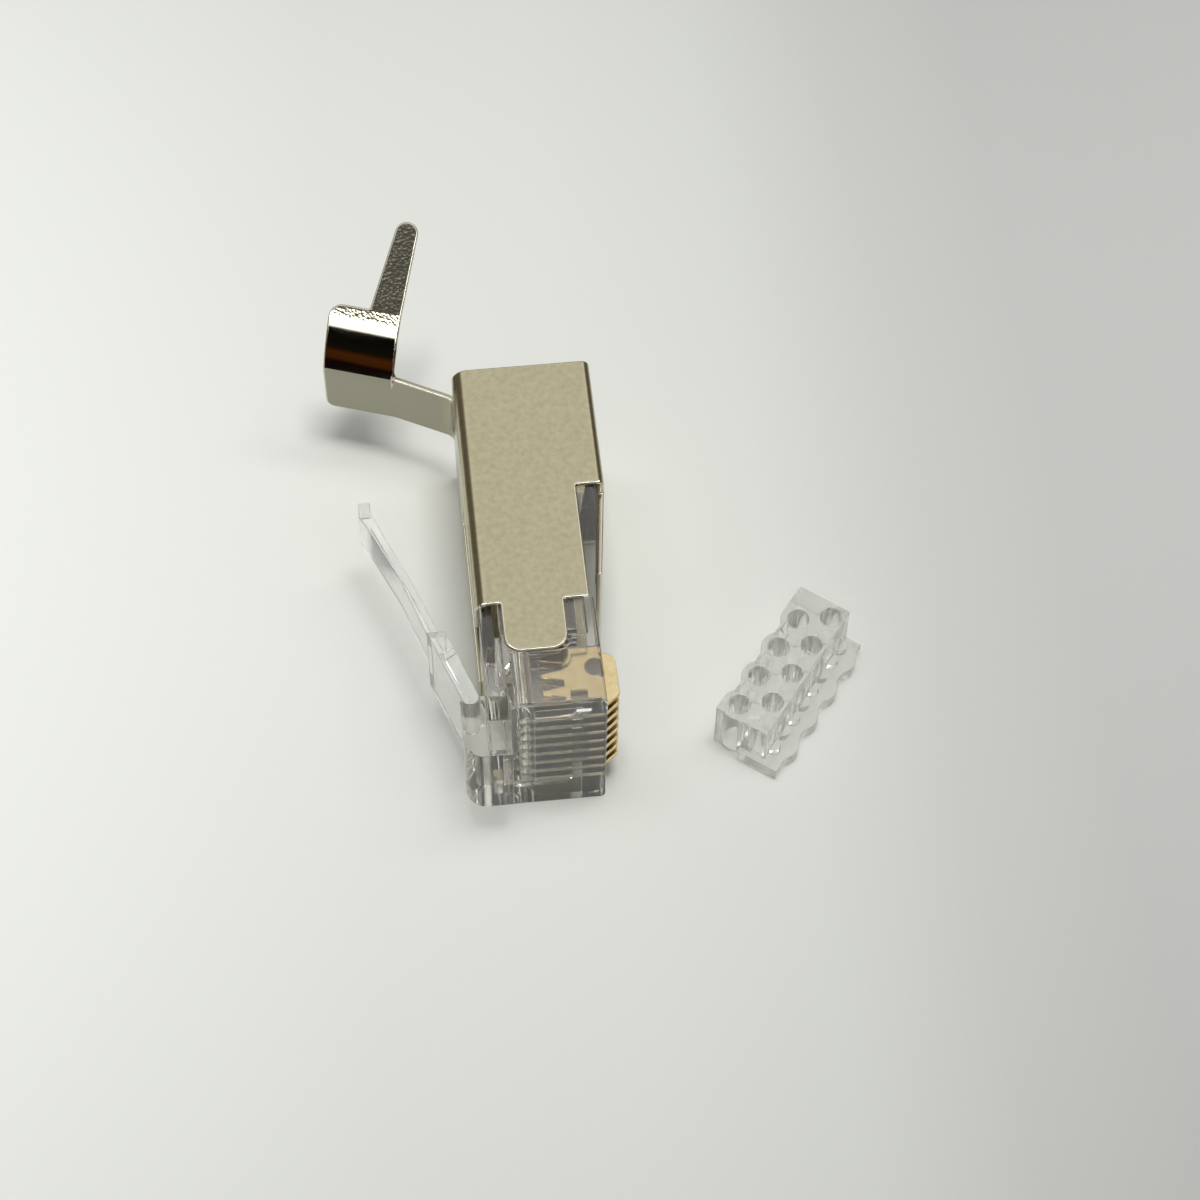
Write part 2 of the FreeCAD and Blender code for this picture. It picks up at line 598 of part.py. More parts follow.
def tail_strip(doc):
    """The fold and the straight strip, as a solid, and the place where the crimp band starts."""
    thick = number(doc, "sheet")
    radius = number(doc, "strip_bend")
    width = number(doc, "strip_width")
    corner = FreeCAD.Vector(number(doc, SHIELD_LATCH), number(doc, "shield_rear"), 0)
    centre = corner - FreeCAD.Vector(radius, 0, 0)
    lean = number(doc, "strip_angle")
    back = turned(False, lean)
    out = turned(True, lean)
    half_back = turned(False, (lean + 90) / 2)

    def arc(size):
        start = centre + FreeCAD.Vector(size, 0, 0)
        return Part.Arc(start, centre + half_back * size, centre + back * size).toShape()

    front_end = centre + back * radius
    rear_end = centre + back * (radius + thick)
    band_start = front_end + out * number(doc, "strip_length")
    # The rear face runs on a little, so that the band's own turn closes without a gap.
    rear_start = rear_end + out * (number(doc, "strip_length") + thick / 2)
    edges = [
        arc(radius),
        Part.makeLine(front_end, band_start),
        Part.makeLine(band_start, rear_start),
        Part.makeLine(rear_start, rear_end),
        arc(radius + thick),
        Part.makeLine(centre + FreeCAD.Vector(radius + thick, 0, 0), corner),
    ]
    face = Part.Face(Part.Wire(Part.__sortEdges__(edges)))
    strip = face.extrude(FreeCAD.Vector(0, 0, width))
    strip.translate(FreeCAD.Vector(0, 0, -width / 2))
    return strip, band_start


def crimp_band(doc, start):
    """The band in section, run along its width: a flat foot, a knee, a long curl and a last bend."""
    thick = number(doc, "sheet")
    out = turned(True, number(doc, "band_angle"))
    back = turned(False, number(doc, "band_angle"))
    up = FreeCAD.Vector(0, 0, 1)

    def inward(angle):
        return back * math.cos(angle) - up * math.sin(angle)

    foot = start - up * (number(doc, "strip_width") / 2)
    place = foot + up * number(doc, "band_flat")
    edges = [
        Part.makeLine(foot + back * thick, foot),
        Part.makeLine(foot, place),
        Part.makeLine(foot + back * thick, place + back * thick),
    ]
    bends = [
        ("band_bend", "knee_angle"),
        ("curl_radius", "curl_angle"),
        ("band_bend", "end_angle"),
    ]
    angle = 0
    for size, turn in bends:
        radius = number(doc, size)
        centre = place + inward(angle) * radius
        middle = angle + math.radians(number(doc, turn)) / 2
        following = angle + math.radians(number(doc, turn))
        for face_radius in (radius, radius - thick):
            points = [centre - inward(part) * face_radius for part in (angle, middle, following)]
            edges.append(Part.Arc(*points).toShape())
        place = centre - inward(following) * radius
        angle = following
    edges.append(Part.makeLine(place, place + inward(angle) * thick))
    face = Part.Face(Part.Wire(Part.__sortEdges__(edges)))
    band = face.extrude(out * number(doc, "band_width"))
    onward = back * math.sin(angle) + up * math.cos(angle)
    return band, place, out, onward, inward(angle)


def crimp_tongue(doc, start, out, onward, inward):
    """The tapered tongue that carries on from the band's end and closes on the cable."""
    root = number(doc, "crimp_tongue_root")
    tip = number(doc, "crimp_tongue_tip")
    length = number(doc, "crimp_tongue_length")
    shoulder = length - tip / 2
    near = start + onward * shoulder
    points = [start, near, near + out * (tip / 2) + onward * (tip / 2), near + out * tip, start + out * root]
    edges = [
        Part.makeLine(points[0], points[1]),
        Part.Arc(points[1], points[2], points[3]).toShape(),
        Part.makeLine(points[3], points[4]),
        Part.makeLine(points[4], points[0]),
    ]
    face = Part.Face(Part.Wire(edges))
    return face.extrude(inward * number(doc, "sheet"))


def rounded_band(doc, band, end, out, onward, inward):
    """The band with its free upper corner rounded, as the blank is cut."""
    radius = number(doc, "band_corner")
    width = number(doc, "band_width")
    thick = number(doc, "sheet")
    corner = end + out * width
    centre = corner - (out + onward) * radius
    middle = centre + (out + onward) * (radius / math.sqrt(2))
    edges = [
        Part.makeLine(corner, corner - onward * radius),
        Part.Arc(corner - onward * radius, middle, corner - out * radius).toShape(),
        Part.makeLine(corner - out * radius, corner),
    ]
    waste = Part.Face(Part.Wire(edges)).extrude(inward * thick * 3)
    waste.translate(inward * -thick)
    return band.cut(waste)


def build_shield(doc):
    body = new_body(doc, "shield_wrap")
    shield_wrap(body)
    shield_cutouts(body)
    shield_panel(body)
    strip, band_start = tail_strip(doc)
    band, end, out, onward, inward = crimp_band(doc, band_start)
    tail = doc.addObject("Part::Feature", "crimp_tail")
    band = rounded_band(doc, band, end, out, onward, inward)
    tail.Shape = strip.fuse([band, crimp_tongue(doc, end, out, onward, inward)]).removeSplitter()
    shield = doc.addObject("Part::MultiFuse", "shield")
    shield.Label = "shield"
    shield.Shapes = [body, tail]
    shield.Refine = True
    return shield


# ---- the clear load bar, lying beside the plug with its wire holes upright

def bar_row(body, name, kind, row_y, diameter, height, start, step, count, flip=False):
    """A row of round lobes, beads or holes along the bar."""
    lift = "bar_height" if kind == "Pocket" else "0"
    circle = new_sketch(body, f"{name}_circle", "XY_Plane", lift)
    draw_circle(circle, start, row_y, diameter)
    feature = raise_profile(body, kind, name, circle, height, flip=flip)
    return repeat(body, f"{name}_row", feature, "X_Axis", step, count)


def build_load_bar(doc):
    """Drawn with its length along +X and its lobed side at Y = 0, then turned as it lies."""
    body = new_body(doc, "load_bar")
    lobed_edge = "(bar_row_inset - bar_bore / 2 - bar_wall)"
    dip = f"({lobed_edge} + bar_wall * 0.7)"
    near_end = "bar_margin"
    far_end = f"({BAR_LENGTH} - bar_margin - bar_pitch)"
    block = new_sketch(body, "bar_outline", "XY_Plane")
    draw_loop(block, [
        ("0", f"-{lobed_edge}"),
        (near_end, f"-{lobed_edge}"),
        (near_end, f"-{dip}"),
        (far_end, f"-{dip}"),
        (far_end, f"-{lobed_edge}"),
        (BAR_LENGTH, f"-{lobed_edge}"),
        (BAR_LENGTH, "-bar_width"),
        ("0", "-bar_width"),
    ])
    raise_profile(body, "Pad", "bar_block", block, "bar_height")
    first_row = "-bar_row_inset"
    second_row = "-(bar_row_inset + bar_row_gap)"
    half = "(contact_count / 2)"
    second_start = "bar_margin + bar_pitch"
    step = "(2 * bar_pitch)"
    lobe = "bar_bore + 2 * bar_wall"
    bar_row(body, "lobe", "Pad", first_row, lobe, "bar_height", "bar_margin", step, half)
    bar_row(body, "bead", "Pad", "-bar_width", "bar_bead", "bar_bead_height", "bar_margin",
            "bar_pitch", "contact_count")
    foot = new_sketch(body, "foot_outline", "XY_Plane")
    foot_face = "(bar_width + bar_foot_reach * 0.75)"
    foot_side = "(bar_width / 2)"
    draw_loop(foot, [
        ("-bar_foot_end", f"-{foot_side}"),
        (BAR_LENGTH, f"-{foot_side}"),
        (BAR_LENGTH, f"-{foot_face}"),
        ("-bar_foot_end", f"-{foot_face}"),
    ])
    raise_profile(body, "Pad", "foot", foot, "bar_foot_height")
    foot_lobe = "(-(bar_width + bar_foot_reach) + bar_pitch)"
    bar_row(body, "foot_lobe", "Pad", foot_lobe, "2 * bar_pitch", "bar_foot_height",
            "bar_margin + bar_pitch / 2", step, half)
    bar_row(body, "near_hole", "Pocket", first_row, "bar_bore", "bar_height + 0.01", "bar_margin",
            step, half)
    bar_row(body, "far_hole", "Pocket", second_row, "bar_bore", "bar_height + 0.01", second_start,
            step, half)
    body.Placement = FreeCAD.Placement(FreeCAD.Vector(), FreeCAD.Rotation(FreeCAD.Vector(0, 0, 1), 1))
    body.setExpression("Placement.Base.x", sheet_formula("bar_away"))
    body.setExpression("Placement.Base.y", sheet_formula("bar_back"))
    body.setExpression("Placement.Base.z", sheet_formula("-plug_width / 2"))
    body.setExpression("Placement.Rotation.Angle", sheet_formula("bar_turn"))
    return body


# ---- the whole plug

def check_and_write(doc, pieces):
    """Stop if anything failed to build, then write one STEP file for each piece."""
    doc.recompute()
    broken = [item.Name for item in doc.Objects if {"Invalid", "Error"} & set(item.State)]
    if broken:
        raise RuntimeError(f"not built: {broken}")
    for piece in pieces:
        shape = piece.Shape
        if shape.isNull() or not shape.isValid() or len(shape.Solids) != 1:
            raise RuntimeError(f"{piece.Label} isn't one valid solid")
    os.makedirs("parts", exist_ok=True)
    for piece in pieces:
        piece.Shape.exportStep(f"parts/{piece.Label}.step")
        print(f"{piece.Label:12s} {piece.Shape.Volume:9.3f} mm3")


document = FreeCAD.newDocument("modular_plug")
write_sizes(document)
plug_pieces = [build_housing(document), build_latch(document)]
plug_pieces += [build_contact(document, way) for way in range(int(number(document, "contact_count")))]
plug_pieces += [build_shield(document), build_load_bar(document)]
check_and_write(document, plug_pieces)
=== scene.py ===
import json
import math

import bpy
from mathutils import Matrix, Vector
from mathutils.bvhtree import BVHTree


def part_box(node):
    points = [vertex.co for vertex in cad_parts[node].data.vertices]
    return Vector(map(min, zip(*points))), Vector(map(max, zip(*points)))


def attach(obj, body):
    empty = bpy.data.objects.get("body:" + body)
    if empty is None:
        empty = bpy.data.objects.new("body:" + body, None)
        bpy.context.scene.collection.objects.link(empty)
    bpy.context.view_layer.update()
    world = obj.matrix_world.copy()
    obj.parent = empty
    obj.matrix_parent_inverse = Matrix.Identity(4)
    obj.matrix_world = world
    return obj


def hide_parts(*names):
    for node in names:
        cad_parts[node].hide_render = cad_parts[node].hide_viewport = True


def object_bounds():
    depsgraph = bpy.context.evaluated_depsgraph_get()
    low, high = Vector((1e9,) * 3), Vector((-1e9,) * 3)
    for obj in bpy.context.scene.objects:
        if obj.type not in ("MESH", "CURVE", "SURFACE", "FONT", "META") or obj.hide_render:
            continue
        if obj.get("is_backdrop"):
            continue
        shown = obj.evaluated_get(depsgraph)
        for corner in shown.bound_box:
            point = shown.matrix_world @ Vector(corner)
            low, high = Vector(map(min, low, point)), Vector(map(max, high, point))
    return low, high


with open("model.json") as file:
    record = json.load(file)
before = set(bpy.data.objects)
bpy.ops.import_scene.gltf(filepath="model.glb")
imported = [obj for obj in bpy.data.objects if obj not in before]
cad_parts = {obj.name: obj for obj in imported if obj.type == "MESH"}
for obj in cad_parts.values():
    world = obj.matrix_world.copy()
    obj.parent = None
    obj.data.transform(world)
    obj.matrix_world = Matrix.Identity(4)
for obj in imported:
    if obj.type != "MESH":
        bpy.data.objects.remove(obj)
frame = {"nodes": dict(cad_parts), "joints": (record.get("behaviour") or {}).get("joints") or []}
cad_low, cad_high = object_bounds()

# ---- the view: a long lens from above and in front of the nose, turned and tipped a little

camera_place = Vector((-0.008399, -0.083864, 0.154979))
turn, drop, roll = (math.radians(degrees) for degrees in (7.21, 58.518, 1.285))
ahead = Vector((math.sin(turn) * math.cos(drop), math.cos(turn) * math.cos(drop), -math.sin(drop)))
level = Vector((math.cos(turn), -math.sin(turn), 0))
above = level.cross(ahead)
right = level * math.cos(roll) + above * math.sin(roll)
up = above * math.cos(roll) - level * math.sin(roll)
lens = bpy.data.cameras.new("camera")
lens.lens = 90
lens.sensor_width = 36
lens.clip_start = 0.001
camera = bpy.data.objects.new("camera", lens)
camera.matrix_world = Matrix.Translation(camera_place) @ Matrix((right, up, -ahead)).transposed().to_4x4()
bpy.context.collection.objects.link(camera)
bpy.context.scene.camera = camera
bpy.context.scene.view_settings.view_transform = "Standard"


# ---- the paper that the plug lies on
# A wide sheet of pale paper whose colour carries painted light: brighter on the left, darker towards the
# right, and painted darker towards the front and the back.

def start_material(name, roughness, metallic=0.0):
    """A new material and its shader, with the node list and links at hand."""
    material = bpy.data.materials.new(name)
    material.use_nodes = True
    nodes, links = material.node_tree.nodes, material.node_tree.links
    shader = nodes["Principled BSDF"]
    shader.inputs["Roughness"].default_value = roughness
    shader.inputs["Metallic"].default_value = metallic
    return material, nodes, links, shader


def color_ramp(nodes, links, source, stops):
    """A colour ramp fed by a socket; each stop is a place and a colour."""
    ramp = nodes.new("ShaderNodeValToRGB")
    elements = ramp.color_ramp.elements
    while len(elements) < len(stops):
        elements.new(0.5)
    for element, (place, color) in zip(elements, stops):
        element.position = place
        element.color = (*color, 1)
    links.new(source, ramp.inputs["Fac"])
    return ramp.outputs["Color"]


def scaled_range(nodes, links, source, low, high):
    """Turns the run from low to high into the run from 0 to 1."""
    reach = nodes.new("ShaderNodeMapRange")
    reach.inputs["From Min"].default_value = low
    reach.inputs["From Max"].default_value = high
    links.new(source, reach.inputs["Value"])
    return reach.outputs["Result"]


paper_middle = 0.20
paper_size = (0.8, 0.6)
paper_gap = 0.00002
bpy.ops.object.select_all(action="DESELECT")
bpy.ops.mesh.primitive_plane_add(size=1, location=(0, paper_middle, cad_low.z - paper_gap))
bpy.ops.transform.resize(value=(*paper_size, 1))
bpy.ops.object.transform_apply(location=True, rotation=True, scale=True)
paper = bpy.context.object
paper.name = "paper"
paper_material, nodes, links, shader = start_material("pale_paper", 0.75)
shader.inputs["Specular IOR Level"].default_value = 0.2
place = nodes.new("ShaderNodeTexCoord")
split = nodes.new("ShaderNodeSeparateXYZ")
links.new(place.outputs["Object"], split.inputs[0])
across = scaled_range(nodes, links, split.outputs["X"], -0.034, 0.034)
# Painted light: the paper's colour falls from left to right, standing in for the room's light falling off
# across the set.
painted_light_on_paper = color_ramp(nodes, links, across, [
    (0.00, (0.86, 0.87, 0.828)),
    (0.33, (0.755, 0.765, 0.722)),
    (0.55, (0.725, 0.735, 0.691)),
    (0.72, (0.675, 0.685, 0.647)),
    (0.86, (0.585, 0.59, 0.56)),
    (1.00, (0.535, 0.535, 0.52)),
])
# Painted shade: the paper is darkened by up to 15 percent towards its front and its back.
from_middle = scaled_range(nodes, links, split.outputs["Y"], 0.025, 0.070)
from_middle.node.clamp = False
square = nodes.new("ShaderNodeMath")
square.operation = "MULTIPLY"
links.new(from_middle, square.inputs[0])
links.new(from_middle, square.inputs[1])
fade = scaled_range(nodes, links, square.outputs[0], 0, 1.6)
dimmed = nodes.new("ShaderNodeMix")
dimmed.data_type = "RGBA"
dimmed.blend_type = "MULTIPLY"
dimmed.inputs["B"].default_value = (0.85, 0.85, 0.85, 1)
links.new(fade, dimmed.inputs["Factor"])
links.new(painted_light_on_paper, dimmed.inputs["A"])
links.new(dimmed.outputs["Result"], shader.inputs["Base Color"])
paper.data.materials.append(paper_material)
paper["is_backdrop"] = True


# ---- the room's light
# A pale room, dark at eye level, with a bright window in front of the plug and a dark patch above it.

world = bpy.data.worlds.new("room")
world.use_nodes = True
bpy.context.scene.world = world
nodes, links = world.node_tree.nodes, world.node_tree.links
sky = nodes["Background"]
facing = nodes.new("ShaderNodeTexCoord")
split = nodes.new("ShaderNodeSeparateXYZ")
links.new(facing.outputs["Generated"], split.inputs[0])
height = nodes.new("ShaderNodeMath")
height.operation = "ARCSINE"
links.new(split.outputs["Z"], height.inputs[0])
height = scaled_range(nodes, links, height.outputs[0], 0, math.radians(90))
front_wall = color_ramp(nodes, links, height, [
    (0.000, (0.012, 0.004, 0.004)),
    (0.040, (0.012, 0.004, 0.004)),
    (0.066, (0.110, 0.030, 0.005)),
    (0.125, (0.135, 0.038, 0.007)),
    (0.165, (0.014, 0.010, 0.006)),
    (0.340, (0.006, 0.006, 0.005)),
    (0.370, (9.0, 9.0, 8.7)),
    (0.440, (9.0, 9.0, 8.7)),
    (0.480, (0.22, 0.22, 0.20)),
    (0.860, (0.18, 0.18, 0.16)),
    (0.980, (1.05, 1.05, 1.02)),
])
back_wall = color_ramp(nodes, links, height, [
    (0.000, (0.170, 0.145, 0.120)),
    (0.340, (0.190, 0.165, 0.135)),
    (0.420, (1.18, 1.18, 1.13)),
    (0.700, (1.06, 1.06, 1.03)),
    (1.000, (1.05, 1.05, 1.02)),
])
behind = scaled_range(nodes, links, split.outputs["Y"], -0.12, 0.02)
walls = nodes.new("ShaderNodeMix")
walls.data_type = "RGBA"
links.new(behind, walls.inputs["Factor"])
links.new(front_wall, walls.inputs["A"])
links.new(back_wall, walls.inputs["B"])
backdrop = nodes.new("ShaderNodeRGB")
backdrop.outputs[0].default_value = (0.74, 0.75, 0.72, 1)
path = nodes.new("ShaderNodeLightPath")
choose = nodes.new("ShaderNodeMix")
choose.data_type = "RGBA"
links.new(path.outputs["Is Glossy Ray"], choose.inputs["Factor"])
links.new(backdrop.outputs[0], choose.inputs["A"])
links.new(walls.outputs["Result"], choose.inputs["B"])
links.new(choose.outputs["Result"], sky.inputs["Color"])
strength = nodes.new("ShaderNodeMath")
strength.operation = "MULTIPLY_ADD"
strength.inputs[1].default_value = -0.85
strength.inputs[2].default_value = 1.0
links.new(path.outputs["Is Diffuse Ray"], strength.inputs[0])
links.new(strength.outputs[0], sky.inputs["Strength"])


def soft_lamp(name, place, aim, width, depth, watts):
    """A ceiling lamp that lights the set, and that no surface mirrors."""
    lamp = bpy.data.lights.new(name, "AREA")
    lamp.shape = "RECTANGLE"
    lamp.size = width
    lamp.size_y = depth
    lamp.energy = watts
    holder = bpy.data.objects.new(name, lamp)
    holder.location = place
    holder.rotation_euler = (Vector(aim) - Vector(place)).to_track_quat("-Z", "Y").to_euler()
    holder.visible_glossy = False
    holder.visible_transmission = False
    bpy.context.collection.objects.link(holder)


soft_lamp("long_ceiling_lamp", (0.14, 0.19, 0.90), (0.14, 0.01, 0), 1.2, 0.14, 3.5)
soft_lamp("short_ceiling_lamp", (0.07, 0.02, 0.90), (0.07, 0.01, 0), 0.34, 0.16, 5.0)


card_middle = 0.065
card_length = 0.13
card_height = 0.014


def dark_card(name, x):
    """A low card beside the set, seen only in the metal, which draws a dark line along its bends."""
    middle = (x, card_middle, cad_low.z + card_height / 2)
    bpy.ops.object.select_all(action="DESELECT")
    bpy.ops.mesh.primitive_plane_add(size=1, location=middle, rotation=(0, math.radians(90), 0))
    bpy.ops.transform.resize(value=(1, card_length, card_height))
    bpy.ops.object.transform_apply(location=True, rotation=True, scale=True)
    card = bpy.context.object
    card.name = name
    material, nodes, links, shader = start_material(name, 0.9)
    shader.inputs["Base Color"].default_value = (0.36, 0.30, 0.24, 1)
    shader.inputs["Specular IOR Level"].default_value = 0.0
    card.data.materials.append(material)
    for seen in ("visible_camera", "visible_diffuse", "visible_transmission", "visible_shadow"):
        setattr(card, seen, False)
    card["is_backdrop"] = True


dark_card("left_card", -0.046)
dark_card("right_card", 0.046)


# ---- the clear moulded housing
# One moulding of clear polycarbonate: nose, rails, slots for the contacts and the root of the latch.
# Its faces are glossy from the mould, with a faint flow ripple and slightly eased edges.

def fine_mottle():
    """A node group: a fine cloudy pattern that shades a colour and lifts a surface."""
    group = bpy.data.node_groups.new("fine_mottle", "ShaderNodeTree")
    face = group.interface
    face.new_socket("Place", in_out="INPUT", socket_type="NodeSocketVector")
    for name in ("Scale", "Detail", "Low", "High"):
        face.new_socket(name, in_out="INPUT", socket_type="NodeSocketFloat")
    face.new_socket("Shade", in_out="OUTPUT", socket_type="NodeSocketFloat")
    face.new_socket("Height", in_out="OUTPUT", socket_type="NodeSocketFloat")
    entry = group.nodes.new("NodeGroupInput")
    leave = group.nodes.new("NodeGroupOutput")
    cloud = group.nodes.new("ShaderNodeTexNoise")
    cloud.inputs["Roughness"].default_value = 0.6
    spread = group.nodes.new("ShaderNodeMapRange")
    spread.inputs["From Min"].default_value = 0.3
    spread.inputs["From Max"].default_value = 0.7
    group.links.new(entry.outputs["Place"], cloud.inputs["Vector"])
    group.links.new(entry.outputs["Scale"], cloud.inputs["Scale"])
    group.links.new(entry.outputs["Detail"], cloud.inputs["Detail"])
    group.links.new(cloud.outputs["Fac"], spread.inputs["Value"])
    group.links.new(entry.outputs["Low"], spread.inputs["To Min"])
    group.links.new(entry.outputs["High"], spread.inputs["To Max"])
    group.links.new(spread.outputs["Result"], leave.inputs["Shade"])
    group.links.new(cloud.outputs["Fac"], leave.inputs["Height"])
    return group


mottle = fine_mottle()


def lay_mottle(nodes, links, scale, low, high, detail=3.0):
    """The mottle on a piece's own coordinates, about 1 / scale metres from cloud to cloud."""
    place = nodes.new("ShaderNodeTexCoord")
    pattern = nodes.new("ShaderNodeGroup")
    pattern.node_tree = mottle
    links.new(place.outputs["Object"], pattern.inputs["Place"])
    pattern.inputs["Scale"].default_value = scale
    pattern.inputs["Detail"].default_value = detail
    pattern.inputs["Low"].default_value = low
    pattern.inputs["High"].default_value = high
    return pattern


def raised(nodes, links, source, distance):
    """The normal of a surface that a pattern lifts by up to a distance."""
    bump = nodes.new("ShaderNodeBump")
    bump.inputs["Distance"].default_value = distance
    links.new(source, bump.inputs["Height"])
    return bump.outputs["Normal"]


def clear_plastic(name, tint, ripple, clearness, passing):
    """Clear moulded plastic that lets the lamp's light through to what lies behind it."""
    material, nodes, links, shader = start_material(name, 0.04)
    shader.inputs["Base Color"].default_value = (*tint, 1)
    shader.inputs["Transmission Weight"].default_value = clearness
    shader.inputs["IOR"].default_value = 1.58
    haze = lay_mottle(nodes, links, 900, 0.02, 0.07)
    links.new(haze.outputs["Shade"], shader.inputs["Roughness"])
    flow = lay_mottle(nodes, links, 260, 0, 1, detail=1.0)
    links.new(raised(nodes, links, flow.outputs["Height"], ripple), shader.inputs["Normal"])
    path = nodes.new("ShaderNodeLightPath")
    lit = nodes.new("ShaderNodeMath")
    lit.operation = "MAXIMUM"
    links.new(path.outputs["Is Shadow Ray"], lit.inputs[0])
    links.new(path.outputs["Is Diffuse Ray"], lit.inputs[1])
    shade = nodes.new("ShaderNodeMath")
    shade.operation = "MULTIPLY_ADD"
    shade.inputs[1].default_value = -passing
    shade.inputs[2].default_value = 1.0
    links.new(lit.outputs[0], shade.inputs[0])
    links.new(shade.outputs[0], shader.inputs["Alpha"])
    return material


def pick(piece):
    """Makes one piece the only one selected, and the active one."""
    bpy.ops.object.select_all(action="DESELECT")
    piece.select_set(True)
    bpy.context.view_layer.objects.active = piece


def whole_flats(convex=False):
    """Joins the triangles of each flat of the active piece; convex parts of it take a bevel cleanly."""
    bpy.ops.object.mode_set(mode="EDIT")
    bpy.ops.mesh.select_all(action="SELECT")
    bpy.ops.mesh.remove_doubles(threshold=1e-7)
    bpy.ops.mesh.dissolve_limited(angle_limit=math.radians(0.6))
    if convex:
        bpy.ops.mesh.vert_connect_concave()
    bpy.ops.object.mode_set(mode="OBJECT")


def copy_of(node, name, *materials):
    """A separate mesh of a CAD node, with its triangles joined up and its flats made whole."""
    piece = bpy.data.objects.new(name, frame["nodes"][node].data.copy())
    piece.data.materials.clear()
    for material in materials:
        piece.data.materials.append(material)
    bpy.context.collection.objects.link(piece)
    pick(piece)
    whole_flats()
    return piece


def smooth_curves(piece):
    """Smooths the curved faces and keeps the flats flat."""
    pick(piece)
    bpy.ops.object.shade_smooth_by_angle(angle=math.radians(32))
    flats = piece.modifiers.new("true_flats", "WEIGHTED_NORMAL")
    flats.keep_sharp = True
    bpy.ops.object.modifier_apply(modifier="true_flats")


def ease_edges(piece, width, segments=2, rim=-1, convex=False, stray=0.45):
    """Rounds the moulded or cut edges, and gives them the rim's material if there is one.

    A corner point that ends up farther than stray widths from the old surface goes back onto it.
    """
    pick(piece)
    if convex:
        whole_flats(convex=True)
    bevel = piece.modifiers.new("eased_edges", "BEVEL")
    bevel.width = width
    bevel.segments = segments
    bevel.limit_method = "ANGLE"
    bevel.angle_limit = math.radians(38)
    bevel.material = rim
    bevel.use_clamp_overlap = False
    bevel.miter_outer = "MITER_ARC"
    low, high = (Vector(map(side, zip(*(vertex.co for vertex in piece.data.vertices))))
                 for side in (min, max))
    surface = BVHTree.FromPolygons([vertex.co for vertex in piece.data.vertices],
                                   [face.vertices for face in piece.data.polygons])
    bpy.ops.object.modifier_apply(modifier="eased_edges")
    for vertex in piece.data.vertices:
        nearest = surface.find_nearest(vertex.co)[0]
        if (nearest - vertex.co).length > stray * width:
            vertex.co = nearest
        vertex.co = [min(max(value, least), most) for value, least, most in zip(vertex.co, low, high)]
    if convex:
        whole_flats()
    smooth_curves(piece)


def mount(piece, body, node):
    """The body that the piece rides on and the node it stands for."""
    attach(piece, body)
    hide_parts(node)


# Painted shade: the housing's plastic takes a darker, warmer tint than the latch moulded in one with it,
# which darkens the nose.
clear = clear_plastic("clear_polycarbonate", tint=(0.86, 0.84, 0.79), ripple=0.000004,
                      clearness=0.98, passing=0.8)
housing = copy_of("housing", "clear_housing", clear)
ease_edges(housing, width=0.00006, convex=True)
mount(housing, "plug", "housing")


# ---- the latch
# Moulded in one with the housing: a wide arm with stop faces, then a narrow lever with a squared end.
# Its rolled end lies in the housing's seat, and stands for the place where the real root bends.

rolled_radius = 0.00056
rolled_width = 0.006
working_scale = 1000

clear_thin = clear_plastic("clear_thin_wall", tint=(0.93, 0.94, 0.93), ripple=0.000004,
                           clearness=0.93, passing=0.7)
latch = copy_of("latch_lever", "clear_latch", clear_thin)
ease_edges(latch, width=0.00009, convex=True)
hinge = Vector(next(joint["pos_m"] for joint in frame["joints"] if joint["name"] == "latch_press"))
bpy.ops.object.select_all(action="DESELECT")
bpy.ops.mesh.primitive_cylinder_add(vertices=72, radius=rolled_radius, depth=rolled_width,
                                    location=hinge)
half_round = bpy.context.object
bpy.ops.object.transform_apply(location=True, rotation=True, scale=True)
bpy.ops.object.mode_set(mode="EDIT")
bpy.ops.mesh.select_all(action="SELECT")
bpy.ops.mesh.bisect(plane_co=hinge + Vector((0, 0.00001, 0)), plane_no=(0, 1, 0), threshold=1e-8,
                    use_fill=True, clear_outer=True)
bpy.ops.mesh.select_all(action="SELECT")
bpy.ops.mesh.normals_make_consistent(inside=False)
bpy.ops.object.mode_set(mode="OBJECT")

# The two are joined in millimetres, because a union in metres loses pieces this small.
for piece in (latch, half_round):
    piece.data.transform(Matrix.Scale(working_scale, 4))
join = latch.modifiers.new("rolled_end", "BOOLEAN")
join.operation = "UNION"
join.object = half_round
pick(latch)
bpy.ops.object.modifier_apply(modifier="rolled_end")
latch.data.transform(Matrix.Scale(1 / working_scale, 4))
smooth_curves(latch)
bpy.data.objects.remove(half_round)
mount(latch, "latch", "latch_lever")


# ---- the contacts
# Eight blades stamped from phosphor bronze sheet and plated with gold, pushed into their slots.
# Each one's front corner is cut at a slant, from a little above the housing's face.

ways = 8
stand_out = 0.0009
corner_start = 0.0001
corner_facing = (0.62, -0.78, 0)

gold, nodes, links, shader = start_material("contact_gold", 0.2, 1.0)
tone = lay_mottle(nodes, links, 1800, 0, 1)
gold_color = color_ramp(nodes, links, tone.outputs["Shade"], [
    (0.0, (0.62, 0.49, 0.265)), (1.0, (0.71, 0.585, 0.34))])
links.new(gold_color, shader.inputs["Base Color"])
polish = lay_mottle(nodes, links, 1200, 0.10, 0.22)
links.new(polish.outputs["Shade"], shader.inputs["Roughness"])

